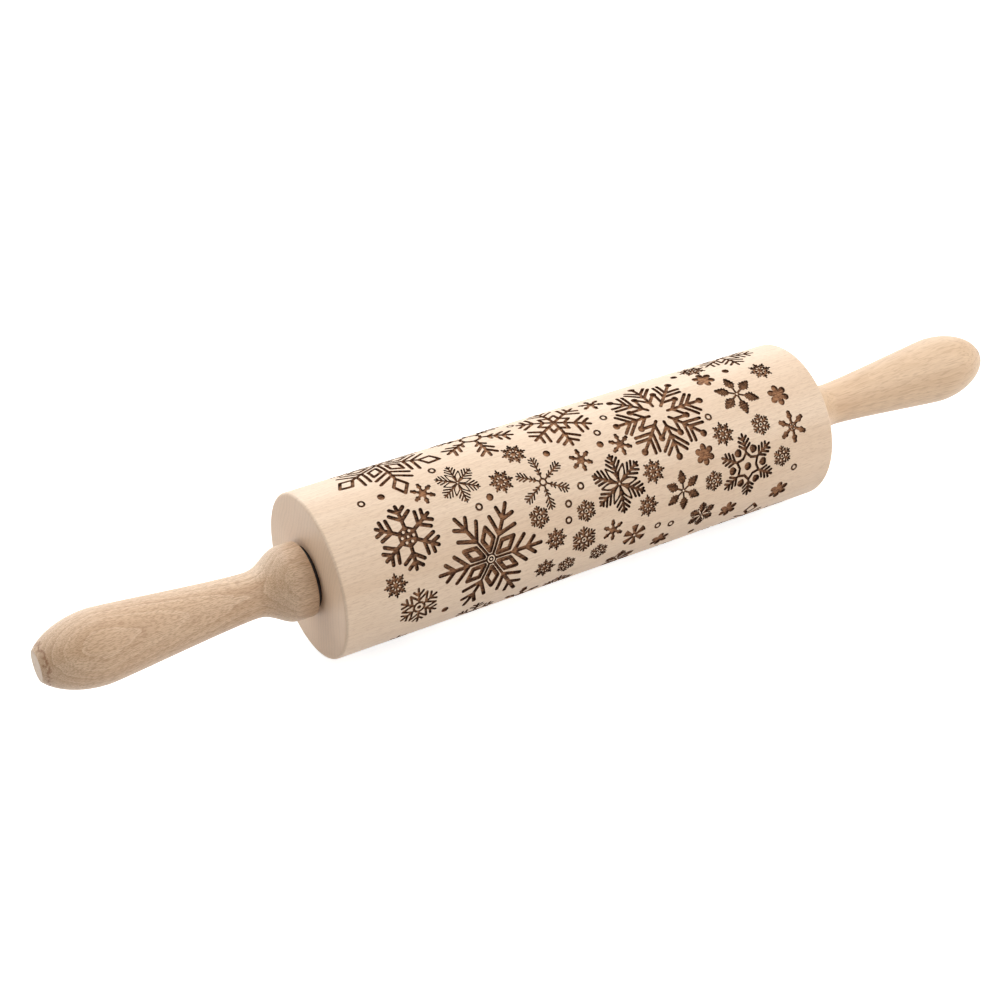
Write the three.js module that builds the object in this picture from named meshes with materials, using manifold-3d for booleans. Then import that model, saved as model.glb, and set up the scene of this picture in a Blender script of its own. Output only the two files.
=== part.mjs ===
// Engraved rolling pin: a beech barrel cut all round with snowflakes, turning on a steel rod
// between two turned handles. Millimetres, +Z up, X along the pin, the barrel resting at z = 0.

import * as THREE from "three";
import { mergeVertices } from "three/addons/utils/BufferGeometryUtils.js";
import Module from "manifold-3d";

const wasm = await Module();
wasm.setup();

// Driving sizes of the barrel
const barrelLength = 222;
const barrelRadius = 32.5;
const rimRounding = 2;
const barrelFacets = 32;
const rimSteps = 3;

// Driving sizes of the engraving
const engravingDepth = 1.4;
const endMargin = 10;
const strokeWidth = 1.5;
const armCount = 6;
const branchAngle = Math.PI / 3;
const largeFlakeRadius = 22.4;
const mediumFlakeRadius = 13;
const smallStarRadius = 8.8;
const starNotchShare = 0.36;
const longestRun = 18;
const strokeOverrun = 2;

// Driving sizes of the rod, the bushes and the washers
const rodRadius = 4;
const rodChamfer = 0.8;
const rodGripLength = 50;
const bushLength = 24;
const bushWall = 3.7;
const bushFlangeWidth = 4;
const bushFlangeThickness = 1.5;
const washerWidth = 7.7;
const washerThickness = 0.5;
const innerFacets = 24;

// Driving sizes of a handle, whose lengths follow each other outwards from the collar's back
const collarLength = 7;
const coveLength = 15;
const swellLength = 58.4;
const roundEndLength = 22.7;
const collarRadius = 14.5;
const collarBackInset = 1;
const collarBackRounding = 1.1;
const neckRadius = 8.85;
const gripRadius = 13.9;
const tipRadius = 5.8;
const handleFacets = 28;
const curveSteps = 5;
const coveShares = [0.36, 0.54];
const swellShares = [0.18, 0.92];
const endShares = [0.45, 0.81, 0.57];

// Clearances
const seatGap = 0.3;
const runningGap = 0.3;

// Sizes that follow from the driving ones
const fullTurn = 2 * Math.PI;
const halfBarrel = barrelLength / 2;
const floorRadius = barrelRadius - engravingDepth;
const sleeveRadius = rodRadius + runningGap;
const bushRadius = sleeveRadius + bushWall;
const bushFlangeRadius = bushRadius + bushFlangeWidth;
const washerRadius = sleeveRadius + washerWidth;
const collarBack = halfBarrel + runningGap + washerThickness + runningGap;
const rodEnd = collarBack + rodGripLength;

// Materials, with the colours of pale beech, bright steel and dark plastic
const barrelWood = new THREE.MeshStandardMaterial({ color: 0xedd3b8, roughness: 0.62, metalness: 0 });
const handleWood = new THREE.MeshStandardMaterial({ color: 0xd7b79a, roughness: 0.58, metalness: 0 });
const steel = new THREE.MeshStandardMaterial({ color: 0xb9bcc0, roughness: 0.3, metalness: 1 });
const darkPlastic = new THREE.MeshStandardMaterial({ color: 0x1e1b19, roughness: 0.5, metalness: 0 });

// A closed mesh as a solid that can be joined and cut
function solidOf(geometry) {
  geometry.deleteAttribute("normal");
  geometry.deleteAttribute("uv");
  const merged = mergeVertices(geometry);
  return new wasm.Manifold(new wasm.Mesh({
    numProp: 3,
    vertProperties: merged.getAttribute("position").array,
    triVerts: Uint32Array.from(merged.getIndex().array),
  }));
}

// A solid back as a mesh geometry
function geometryOf(solid) {
  const mesh = solid.getMesh();
  const geometry = new THREE.BufferGeometry();
  geometry.setAttribute("position", new THREE.BufferAttribute(mesh.vertProperties, mesh.numProp));
  geometry.setIndex(new THREE.BufferAttribute(mesh.triVerts, 1));
  geometry.computeVertexNormals();
  return geometry;
}

// A form turned about the pin's axis. The profile's points are (radius, place along the axis). The
// facets touch the true round from outside, and half a facet of turn puts a flat one at the bottom.
function turned(profile, facets) {
  const halfFacet = Math.PI / facets;
  const outside = profile.map((point) => new THREE.Vector2(point.x / Math.cos(halfFacet), point.y));
  const geometry = new THREE.LatheGeometry(outside, facets, halfFacet);
  geometry.rotateZ(-Math.PI / 2);
  return geometry;
}

// The engraving is drawn on the unrolled sheet, where x runs along the pin and y round it, and is
// then wrapped on the barrel

// An outline on the sheet, raised to a prism through the barrel's skin and bent round the axis
function wrappedPrism(outline) {
  const height = engravingDepth + strokeOverrun + strokeOverrun;
  const shape = new THREE.Shape(outline);
  const geometry = new THREE.ExtrudeGeometry(shape, { depth: height, bevelEnabled: false });
  const places = geometry.getAttribute("position");
  for (let i = 0; i < places.count; i += 1) {
    const angle = places.getY(i) / barrelRadius;
    const radius = floorRadius - strokeOverrun + places.getZ(i);
    places.setXYZ(i, places.getX(i), radius * Math.sin(angle), radius * Math.cos(angle));
  }
  return solidOf(geometry);
}

// A straight stroke as prisms short enough to follow the barrel's curve
function stroke(start, end, width) {
  const along = end.clone().sub(start);
  const runs = Math.max(1, Math.ceil(Math.abs(along.y) / longestRun));
  const side = new THREE.Vector2(-along.y, along.x).normalize().multiplyScalar(width / 2);
  const prisms = [];
  for (let run = 0; run < runs; run += 1) {
    const from = start.clone().lerp(end, run / runs);
    const to = start.clone().lerp(end, (run + 1) / runs);
    prisms.push(wrappedPrism([
      from.clone().sub(side),
      to.clone().sub(side),
      to.clone().add(side),
      from.clone().add(side),
    ]));
  }
  return prisms;
}

// A point given as shares of a flake's radius, out along an arm and beside it
function armPoint(centre, angle, radius, [outShare, besideShare]) {
  const point = new THREE.Vector2(outShare, besideShare).multiplyScalar(radius);
  return point.rotateAround(new THREE.Vector2(0, 0), angle).add(centre);
}

// A star with sharp points about a centre, in one prism
function pointedStar(centre, radius) {
  const outline = [];
  for (let corner = 0; corner < 2 * armCount; corner += 1) {
    const reachShare = corner % 2 === 0 ? 1 : starNotchShare;
    const angle = (corner / (2 * armCount)) * fullTurn + Math.PI / 2;
    outline.push(armPoint(centre, angle, radius, [reachShare, 0]));
  }
  return wrappedPrism(outline);
}

// A chain of strokes through points given in an arm's own frame
function chain(centre, angle, radius, width, pointShares) {
  const points = pointShares.map((shares) => armPoint(centre, angle, radius, shares));
  return points.slice(1).flatMap((point, i) => stroke(points[i], point, width));
}

// What each kind of flake is made of, in shares of the flake's radius, the first number outwards
// along an arm and the second beside it. A side chain is drawn on both sides of each arm. A diamond
// is given by its near end, its far end and half its width, and lies on an arm or between two arms.
// A tilted flake has its first arm along the pin instead of round it.
const spineShares = [[0, 0], [1, 0]];

function branchShares(out, length) {
  return [[out, 0], [out + length * Math.cos(branchAngle), length * Math.sin(branchAngle)]];
}

const flakeKinds = {
  diamondTipped: {
    armShares: [[0, 0], [0.8, 0]],
    sideShares: [branchShares(0.45, 0.34)],
    armDiamondShares: [[0.64, 1, 0.12]],
    betweenDiamondShares: [],
  },
  starOfDiamonds: {
    tilted: true,
    armShares: spineShares,
    sideShares: [branchShares(0.5, 0.36)],
    armDiamondShares: [],
    betweenDiamondShares: [[0.16, 0.57, 0.12]],
  },
  forked: {
    armShares: spineShares,
    sideShares: [branchShares(0.5, 0.42)],
    armDiamondShares: [],
    betweenDiamondShares: [],
  },
  plain: {
    armShares: spineShares,
    sideShares: [],
    armDiamondShares: [],
    betweenDiamondShares: [],
  },
};

// A solid diamond as one prism
function diamond(centre, angle, radius, [nearShare, farShare, halfWidthShare]) {
  const middleShare = (nearShare + farShare) / 2;
  const cornerShares = [
    [nearShare, 0],
    [middleShare, -halfWidthShare],
    [farShare, 0],
    [middleShare, halfWidthShare],
  ];
  return wrappedPrism(cornerShares.map((shares) => armPoint(centre, angle, radius, shares)));
}

// A flake's own prisms, arm by arm
function flakePrisms(kind, centre, radius, width) {
  const prisms = [];
  const first = Math.PI / 2 + (kind.tilted ? Math.PI / armCount : 0);
  for (let arm = 0; arm < armCount; arm += 1) {
    const angle = first + (arm / armCount) * fullTurn;
    const halfWay = angle + Math.PI / armCount;
    prisms.push(...chain(centre, angle, radius, width, kind.armShares));
    for (const shares of kind.sideShares) {
      const mirrored = shares.map(([out, beside]) => [out, -beside]);
      prisms.push(...chain(centre, angle, radius, width, shares));
      prisms.push(...chain(centre, angle, radius, width, mirrored));
    }
    for (const shares of kind.armDiamondShares) {
      prisms.push(diamond(centre, angle, radius, shares));
    }
    for (const shares of kind.betweenDiamondShares) {
      prisms.push(diamond(centre, halfWay, radius, shares));
    }
  }
  return prisms;
}

// Where the motifs lie, for half of the barrel: a place along as a share of half the barrel, a
// place round as a share of a full turn from the top towards the front, and a size as a share of
// the named radius. The other half is the same, turned half way round and end for end.
const flakeShares = [
  ["diamondTipped", -0.667, -0.067, largeFlakeRadius, 1.1],
  ["starOfDiamonds", -0.454, 0.221, largeFlakeRadius, 1],
  ["forked", 0.341, 0.053, largeFlakeRadius, 0.92],
  ["forked", -0.727, 0.133, mediumFlakeRadius, 1],
  ["forked", 0.081, 0.162, mediumFlakeRadius, 0.94],
  ["plain", -0.314, -0.053, mediumFlakeRadius, 1.28],
  ["plain", -0.024, -0.009, mediumFlakeRadius, 1.14],
  ["plain", 0.612, 0.211, mediumFlakeRadius, 1.05],
  ["plain", 0.778, -0.076, mediumFlakeRadius, 1.06],
];

// The small stars, placed the same way, their size a share of the small star's radius
const starShares = [
  [-0.483, 0.064, 1], [-0.732, 0.272, 1], [-0.195, 0.114, 1], [0.33, 0.216, 1], [0.669, 0.065, 1],
  [-0.811, 0.211, 0.6], [-0.337, 0.088, 0.6],
];

function sheetPlace(alongShare, turnShare) {
  return new THREE.Vector2(alongShare * halfBarrel, -turnShare * fullTurn * barrelRadius);
}

// Both places of a motif: its own, and the one half way round and end for end
function bothPlaces(alongShare, turnShare) {
  return [sheetPlace(alongShare, turnShare), sheetPlace(-alongShare, turnShare + 1 / 2)];
}

function allCuts() {
  const cuts = [];
  for (const [kind, along, turn, size, sizeShare] of flakeShares) {
    for (const place of bothPlaces(along, turn)) {
      const prisms = flakePrisms(flakeKinds[kind], place, size * sizeShare, strokeWidth);
      cuts.push(prisms.reduce((joined, prism) => joined.add(prism)));
    }
  }
  for (const [along, turn, sizeShare] of starShares) {
    for (const place of bothPlaces(along, turn)) {
      cuts.push(pointedStar(place, smallStarRadius * sizeShare));
    }
  }
  return cuts;
}

// The barrel: a turned blank, less the strokes, given back its core below the engraving's floor,
// and bored through with a shallow counterbore at each end
function barrelGeometry() {
  const rim = halfBarrel - rimRounding;
  const blank = new THREE.Path();
  blank.moveTo(0, -halfBarrel);
  blank.lineTo(barrelRadius - rimRounding, -halfBarrel);
  blank.absarc(barrelRadius - rimRounding, -rim, rimRounding, -Math.PI / 2, 0, false);
  blank.lineTo(barrelRadius, rim);
  blank.absarc(barrelRadius - rimRounding, rim, rimRounding, 0, Math.PI / 2, false);
  blank.lineTo(0, halfBarrel);
  const coreEnd = halfBarrel - endMargin / 2;
  const core = [
    new THREE.Vector2(0, -coreEnd),
    new THREE.Vector2(floorRadius, -coreEnd),
    new THREE.Vector2(floorRadius, coreEnd),
    new THREE.Vector2(0, coreEnd),
  ];
  const boreRadius = bushRadius + seatGap;
  const counterboreRadius = bushFlangeRadius + seatGap;
  const seat = halfBarrel - bushFlangeThickness - seatGap;
  const past = halfBarrel + strokeOverrun;
  const bore = [
    new THREE.Vector2(0, -past),
    new THREE.Vector2(counterboreRadius, -past),
    new THREE.Vector2(counterboreRadius, -seat),
    new THREE.Vector2(boreRadius, -seat),
    new THREE.Vector2(boreRadius, seat),
    new THREE.Vector2(counterboreRadius, seat),
    new THREE.Vector2(counterboreRadius, past),
    new THREE.Vector2(0, past),
  ];
  let skin = solidOf(turned(blank.getPoints(rimSteps), barrelFacets));
  for (const cut of allCuts()) skin = skin.subtract(cut);
  const filled = skin.add(solidOf(turned(core, barrelFacets)));
  return geometryOf(filled.subtract(solidOf(turned(bore, innerFacets))));
}

const pin = new THREE.Group();
pin.position.z = barrelRadius;

function addPiece(carrier, name, geometry, material) {
  const piece = new THREE.Mesh(geometry, material);
  piece.name = name;
  carrier.add(piece);
}

// A bush: a sleeve pressed in the bore, its flange flush with the barrel's end face
function bushProfile() {
  const flangeBack = halfBarrel - bushFlangeThickness;
  return [
    new THREE.Vector2(sleeveRadius, halfBarrel - bushLength),
    new THREE.Vector2(bushRadius, halfBarrel - bushLength),
    new THREE.Vector2(bushRadius, flangeBack),
    new THREE.Vector2(bushFlangeRadius, flangeBack),
    new THREE.Vector2(bushFlangeRadius, halfBarrel),
    new THREE.Vector2(sleeveRadius, halfBarrel),
    new THREE.Vector2(sleeveRadius, halfBarrel - bushLength),
  ];
}

// The washer that keeps the collar off the barrel's end face
function washerProfile() {
  const from = halfBarrel + runningGap;
  const to = from + washerThickness;
  return [
    new THREE.Vector2(sleeveRadius, from),
    new THREE.Vector2(washerRadius, from),
    new THREE.Vector2(washerRadius, to),
    new THREE.Vector2(sleeveRadius, to),
    new THREE.Vector2(sleeveRadius, from),
  ];
}

// The rod: through the barrel and into a blind hole in each handle
function rodProfile() {
  return [
    new THREE.Vector2(0, -rodEnd),
    new THREE.Vector2(rodRadius - rodChamfer, -rodEnd),
    new THREE.Vector2(rodRadius, rodChamfer - rodEnd),
    new THREE.Vector2(rodRadius, rodEnd - rodChamfer),
    new THREE.Vector2(rodRadius - rodChamfer, rodEnd),
    new THREE.Vector2(0, rodEnd),
  ];
}

// The handle's outline from the back of the collar to the tip: a nearly straight collar, a cove
// down to the neck, a long swell to the grip and a round end with a small flat tip
function handleProfile() {
  const outline = new THREE.Path();
  const holeRadius = rodRadius + seatGap;
  const holeEnd = rodEnd + seatGap;
  const collarEnd = collarBack + collarLength;
  const neck = collarEnd + coveLength;
  const grip = neck + swellLength;
  const tip = grip + roundEndLength;
  outline.moveTo(0, holeEnd);
  outline.lineTo(holeRadius, holeEnd);
  outline.lineTo(holeRadius, collarBack);
  outline.lineTo(collarRadius - collarBackInset, collarBack);
  outline.quadraticCurveTo(collarRadius, collarBack, collarRadius, collarBack + collarBackRounding);
  outline.lineTo(collarRadius, collarEnd);
  outline.bezierCurveTo(
    collarRadius, collarEnd + coveLength * coveShares[0],
    neckRadius, collarEnd + coveLength * coveShares[1],
    neckRadius, neck,
  );
  outline.bezierCurveTo(
    neckRadius, neck + swellLength * swellShares[0],
    gripRadius, neck + swellLength * swellShares[1],
    gripRadius, grip,
  );
  outline.bezierCurveTo(
    gripRadius, grip + roundEndLength * endShares[0],
    tipRadius + (gripRadius - tipRadius) * endShares[2], grip + roundEndLength * endShares[1],
    tipRadius, tip,
  );
  outline.lineTo(0, tip);
  return outline.getPoints(curveSteps);
}

// The left end is the right end turned half round about the upright axis
const leftEnd = new THREE.Group();
const rightEnd = new THREE.Group();
leftEnd.rotation.z = Math.PI;
pin.add(leftEnd, rightEnd);

addPiece(pin, "barrel", barrelGeometry(), barrelWood);
addPiece(pin, "axle_rod", turned(rodProfile(), innerFacets), steel);
for (const [side, end] of [["left", leftEnd], ["right", rightEnd]]) {
  addPiece(end, `${side}_bush`, turned(bushProfile(), innerFacets), darkPlastic);
  addPiece(end, `${side}_washer`, turned(washerProfile(), innerFacets), darkPlastic);
  addPiece(end, `${side}_handle`, turned(handleProfile(), handleFacets), handleWood);
}

const part = new THREE.Group();
part.add(pin);

export default part;
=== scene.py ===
"""The looks of the engraved rolling pin: a beech barrel burnt with snowflakes and two turned handles."""

import math

import bmesh
import bpy
import numpy as np
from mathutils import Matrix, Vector, geometry


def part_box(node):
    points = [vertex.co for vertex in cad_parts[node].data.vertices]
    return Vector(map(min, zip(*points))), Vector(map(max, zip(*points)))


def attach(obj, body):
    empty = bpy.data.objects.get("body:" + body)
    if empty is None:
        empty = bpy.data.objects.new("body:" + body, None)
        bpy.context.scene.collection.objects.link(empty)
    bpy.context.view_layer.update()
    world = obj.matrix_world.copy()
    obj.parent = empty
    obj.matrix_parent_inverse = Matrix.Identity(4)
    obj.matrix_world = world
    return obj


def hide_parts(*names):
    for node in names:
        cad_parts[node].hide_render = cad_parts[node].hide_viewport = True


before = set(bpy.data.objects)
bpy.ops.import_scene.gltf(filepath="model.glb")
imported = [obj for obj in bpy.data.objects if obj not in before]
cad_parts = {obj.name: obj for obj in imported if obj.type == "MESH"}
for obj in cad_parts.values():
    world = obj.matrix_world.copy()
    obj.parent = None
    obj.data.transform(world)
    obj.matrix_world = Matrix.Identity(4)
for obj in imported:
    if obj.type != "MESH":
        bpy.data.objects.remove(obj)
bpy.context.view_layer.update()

MM = 0.001
FULL_TURN = 2 * math.pi
QUARTER_TURN = FULL_TURN / 4

# Sizes read from the frame
barrel_low, barrel_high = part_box("barrel")
handle_low, handle_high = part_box("right_handle")
bush_low, bush_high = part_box("right_bush")
rod_low, rod_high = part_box("axle_rod")
HALF_BARREL = barrel_high.x
BARREL_RADIUS = (barrel_high.z - barrel_low.z) / 2
AXIS_HEIGHT = (barrel_high.z + barrel_low.z) / 2
COLLAR_BACK = handle_low.x
TIP = handle_high.x
COLLAR_RADIUS = (handle_high.z - handle_low.z) / 2
FLANGE_RADIUS = (bush_high.z - bush_low.z) / 2
ROD_RADIUS = (rod_high.z - rod_low.z) / 2
ROD_END = rod_high.x

# The photograph's camera, its lens and sensor in millimetres
CAMERA_PLACE = Vector((-338.8, -527.5, 448.0)) * MM
CAMERA_TARGET = Vector((-27.8, 0, 38.6)) * MM
CAMERA_LENS = 68.3
CAMERA_SENSOR = 36
CLIP_START = 10 * MM

# Barrel. Its skin is worked out flat, as a sheet for the upper half, whose edges lie a quarter turn
# from the top, and the lower half is the same sheet turned half round and end for end.
GIRTH = FULL_TURN * BARREL_RADIUS
SHEET_EDGE = QUARTER_TURN * BARREL_RADIUS
RIM_ROUNDING = 1.2 * MM
RIM_STEPS = 8
SEAT_GAP = 0.3 * MM
COUNTERBORE_DEPTH = 1.8 * MM
BORE_RADIUS = 8.3 * MM
SHEET_ROWS = 60
SHEET_STEP = 2.4 * MM

# Engraving: a look is how deep a stroke is cut and how dark its floor is burnt. The walls get a painted
# shade, darker than their floor by the value given, and so does the floor within a short way of them.
# Wide strokes have rounder ends than narrow ones, and large flakes of the bold kinds are cut deeper.
BOLD_LOOK = (1.1 * MM, 0.76)
FINE_LOOK = (0.8 * MM, 0.72)
WHOLE = (0, 0)
WALL_SHADE = 0.25
EDGE_SHADE = 0.5
EDGE_SHADE_REACH = 0.7 * MM
OUTLINE_STEP = 2 * MM
BOLD_RADIUS = 9 * MM
WIDE_STROKE = 1.1 * MM
WIDE_END_STEPS = 5
NARROW_END_STEPS = 3
DOT_RADIUS = 1.5 * MM
RING_RADIUS = 1.6 * MM
RING_HOLE = 0.75 * MM
DISC_STEPS = 14
ARM_COUNT = 6

# A toothed leaf: half its stem's width, how far out it is widest, the (place, reach) of each tooth's
# two corners, and the power that rounds its swell
LEAF_STEM_SHARE = 0.02
LEAF_WIDEST_SHARE = 0.42
LEAF_TOOTH_SHARES = ((0.1, 1.0), (0.75, 0.68))
LEAF_SWELL_POWER = 0.8

# Handles, whose lengths follow each other outwards from the collar's back
COLLAR_LENGTH = 7 * MM
COVE_LENGTH = 15 * MM
SWELL_LENGTH = 58.4 * MM
COLLAR_SETBACK = 0.6 * MM
COLLAR_BACK_INSET = 0.6 * MM
COLLAR_BACK_ROUNDING = 0.8 * MM
NECK_RADIUS = 8.85 * MM
GRIP_RADIUS = 14.1 * MM
TIP_RADIUS = 6.4 * MM
TIP_EDGE = 0.5 * MM
COVE_SHARES = (0.36, 0.54)
SWELL_SHARES = (0.18, 0.92)
END_SHARES = (0.45, 0.81, 0.53)
HANDLE_ROWS = 96
CURVE_STEPS = 20
EDGE_STEPS = 4
SHARP_ANGLE = math.radians(32)

# The torn line beside a handle's tip: how far in it lies, how far it strays, and from where to where
# it fades beside its middle
TORN_LINE_INSET = 1.8 * MM
TORN_LINE_STRAY = 1 * MM
TORN_LINE_FADE = (0.1 * MM, 1 * MM)

# How near points are joined, and how near outlines on the sheet meet
MERGE_DISTANCE = 1e-6
CUT_TOLERANCE = 1e-9

# How a face's corners are shaded: as turned about the axis, as flat, as a bore's inside, and as the
# barrel's rounded rims
TURNED, FLAT, BORED, RIM = range(4)


def branch(out, length, degrees):
    """A side branch that leaves an arm at a share of its length."""
    angle = math.radians(degrees)
    return [(out, 0), (out + length * math.cos(angle), length * math.sin(angle))]


def rhombus(near, far, half_width):
    """Half of a diamond's outline."""
    return [(near, 0), ((near + far) / 2, half_width), (far, 0)]


def toothed_leaf(near, far, half_width, teeth):
    """Half of a toothed leaf's outline, from its stem to its tip."""
    points = [(near, LEAF_STEM_SHARE)]
    for tooth in range(teeth):
        for place, reach in LEAF_TOOTH_SHARES:
            share = (tooth + place) / teeth
            swell = min(share / LEAF_WIDEST_SHARE, (1 - share) / (1 - LEAF_WIDEST_SHARE)) ** LEAF_SWELL_POWER
            points.append((near + (far - near) * share, max(LEAF_STEM_SHARE, half_width * swell * reach)))
    return points + [(far, 0)]


def kites(width):
    """A flake whose arms carry long kites, which meet between them."""
    return {
        "width": width,
        "arm": [[(0.25, 0), (0.97, 0)]],
        "side": [[(0.26, 0), (0.2252, 0.13)], [(0.37, 0), (0.7, 0.404)], branch(0.62, 0.32, 48)],
        "centre_dot": 0.1,
    }


def spear(neck, barb, tip):
    """Half of a spearhead's outline at the end of an arm, from its half widths at three places."""
    return [(0.38, neck), (0.5, neck), (0.6, barb), (0.68, barb), (0.8, tip), (0.96, tip), (1.02, 0)]


def petalled(width):
    """A flake with six open petals between branched arms."""
    return {
        "width": width,
        "arm": [[(0.1, 0), (0.96, 0)]],
        "side": [branch(0.43, 0.36, 42), branch(0.62, 0.28, 44), branch(0.8, 0.13, 44)],
        "between": [[(0.04, 0), (0.34, 0.11), (0.64, 0)]],
        "whole_between": [[(0.09, 0), (0.2, 0.045), (0.34, 0.16 - width), (0.48, 0.045), (0.57, 0)]],
        "islands": [(0.035, 0)],
    }


# What each kind of flake is made of, in shares of its radius, out along an arm and beside it.
# "arm" chains lie on each arm, "side" chains on both sides of it and "between" chains on both sides
# of the line half way to the next arm, with the "between_width" if there is one; "fine_arm" chains
# have the "fine_width". "solid" and "solid_between" are halves of filled outlines, with darker
# "veins" over them, and "whole_between" are halves of outlines left whole. "dots" are (out, radius)
# on the arms, "dots_between" half way between them and "holes_between" the same in whole wood.
# "rings" are cut and "islands" left whole between two radii about the centre. "tilted" puts the
# first arm along the pin. "burn" is how dark a kind's floors are, where it isn't its look's value.
FLAKE_SHARES = {
    "diamond_tipped": {
        "burn": 0.7,
        "width": 0.057,
        "arm": [[(0.04, 0), (0.64, 0)]],
        "side": [branch(0.4, 0.32, 60), branch(0.53, 0.3, 60), rhombus(0.64, 0.97, 0.115)],
        "between": [rhombus(0.17, 0.5, 0.098)],
    },
    "ringed_star": {
        "burn": 0.8,
        "tilted": True,
        "width": 0.075,
        "arm": [[(0.44, 0), (0.97, 0)]],
        "side": [branch(0.43, 0.34, 45), branch(0.69, 0.22, 43)],
        "between": [rhombus(0.15, 0.55, 0.106)],
        "between_width": 0.085,
        "fine_width": 0.05,
        "fine_arm": [[(0.06, 0), (0.44, 0)]],
        "centre_dot": 0.1,
        "islands": [(0.07, 0.048), (0.02, 0)],
    },
    "chevrons": {
        "burn": 0.7,
        "arms": 8,
        "width": 0.07,
        "arm": [[(0.21, 0), (0.95, 0)]],
        "side": [branch(0.5, 0.38, 44), branch(0.64, 0.3, 44), [(0.31, 0), (0.517, 0.205)]],
        "dots": [(0.95, 0.075)],
        "dots_between": [(0.56, 0.07)],
    },
    "hexagon_heart": {
        "burn": 0.87,
        "width": 0.122,
        "arm": [[(0, 0), (0.95, 0)]],
        "side": [branch(0.49, 0.38, 54), branch(0.72, 0.27, 52)],
        "solid_between": [[(0, 0), (0.294, 0.17), (0.294, 0)]],
        "holes_between": [(0.18, 0.042)],
        "islands": [(0.035, 0)],
    },
    "open_fern": {
        "width": 0.085,
        "arm": [[(0.24, 0), (0.97, 0)]],
        "side": [
            [(0.24, 0), (0.208, 0.12)],
            branch(0.4, 0.16, 50),
            branch(0.56, 0.26, 50),
            branch(0.74, 0.26, 50),
        ],
    },
    "diamond_heart": {
        "burn": 0.62,
        "width": 0.095,
        "arm": [[(0, 0), (0.97, 0)]],
        "side": [branch(0.54, 0.4, 57), branch(0.75, 0.26, 57)],
        "between": [rhombus(0, 0.46, 0.135)],
    },
    "petalled": petalled(0.09) | {"burn": 0.9},
    "petalled_thin": petalled(0.075),
    "petalled_dense": petalled(0.12),
    "star_heart": {
        "burn": 0.84,
        "width": 0.085,
        "arm": [[(0.42, 0), (0.97, 0)]],
        "side": [
            [(0.42, 0), (0.251, 0.145)],
            branch(0.5, 0.24, 50),
            branch(0.64, 0.23, 50),
            branch(0.78, 0.17, 48),
        ],
        "solid_between": [
            [(0.4, 0), (0.44, 0.07), (0.52, 0.13), (0.61, 0.12), (0.66, 0.06), (0.66, 0)],
        ],
        "centre_dot": 0.125,
    },
    "fern": {
        "width": 0.085,
        "arm": [[(0, 0), (0.97, 0)]],
        "side": [branch(0.3, 0.38, 52), branch(0.48, 0.38, 52), branch(0.7, 0.28, 52)],
    },
    "kites": kites(0.12),
    "kites_dense": kites(0.16),
    "thin_fern": {
        "width": 0.062,
        "arm": [[(0.12, 0), (0.97, 0)]],
        "side": [
            branch(out, length, 45)
            for out, length in ((0.26, 0.1), (0.38, 0.13), (0.55, 0.21), (0.68, 0.22), (0.81, 0.17))
        ],
        "rings": [(0.155, 0.085)],
    },
    "leaved": {
        "width": 0.1,
        "arm": [[(0, 0), (0.45, 0)]],
        "solid": [toothed_leaf(0.27, 1.02, 0.3, 6)],
        "vein_width": 0.035,
        "veins": [
            branch(out, length, 40)
            for out, length in (
                (0.38, 0.2), (0.48, 0.27), (0.58, 0.25), (0.68, 0.2), (0.78, 0.15), (0.88, 0.1),
            )
        ],
        "islands": [(0.05, 0)],
    },
    "paddled": {
        "width": 0.19,
        "arm": [[(0.1, 0), (0.6, 0)]],
        "solid": [spear(0.1, 0.2, 0.14)],
        "centre_dot": 0.3,
        "holes_between": [(0.16, 0.032)],
    },
    "wedged": {
        "width": 0.18,
        "arm": [[(0.2, 0), (0.5, 0)]],
        "solid": [[(0.12, 0.1), (0.45, 0.17), (0.75, 0.25), (0.94, 0.3), (1, 0)]],
        "rings": [(0.26, 0.1)],
    },
    "eight_rays": {
        "arms": 8,
        "width": 0.165,
        "arm": [[(0, 0), (0.93, 0)]],
        "side": [branch(0.36, 0.28, 50), branch(0.6, 0.19, 50)],
        "holes_between": [(0.28, 0.05)],
    },
    "rosette": {
        "width": 0.175,
        "arm": [[(0.25, 0), (0.95, 0)]],
        "side": [[(0.27, 0), (0.234, 0.135)], [(0.42, 0), (0.66, 0.381)], branch(0.66, 0.28, 50)],
        "centre_dot": 0.11,
    },
    "asterisk": {
        "width": 0.24,
        "arm": [[(0, 0), (0.7, 0)]],
        "solid": [spear(0.12, 0.21, 0.15)],
        "centre_dot": 0.36,
    },
    "flower": {
        "width": 0.5,
        "arm": [[(0, 0), (0.6, 0)]],
        "solid": [[(0.4, 0.24), (0.6, 0.31), (0.8, 0.29), (0.96, 0.17), (1.03, 0)]],
    },
}
BOLD_KINDS = {
    "diamond_tipped",
    "ringed_star",
    "hexagon_heart",
    "chevrons",
    "diamond_heart",
    "petalled",
    "star_heart",
    "fern",
}

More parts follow.
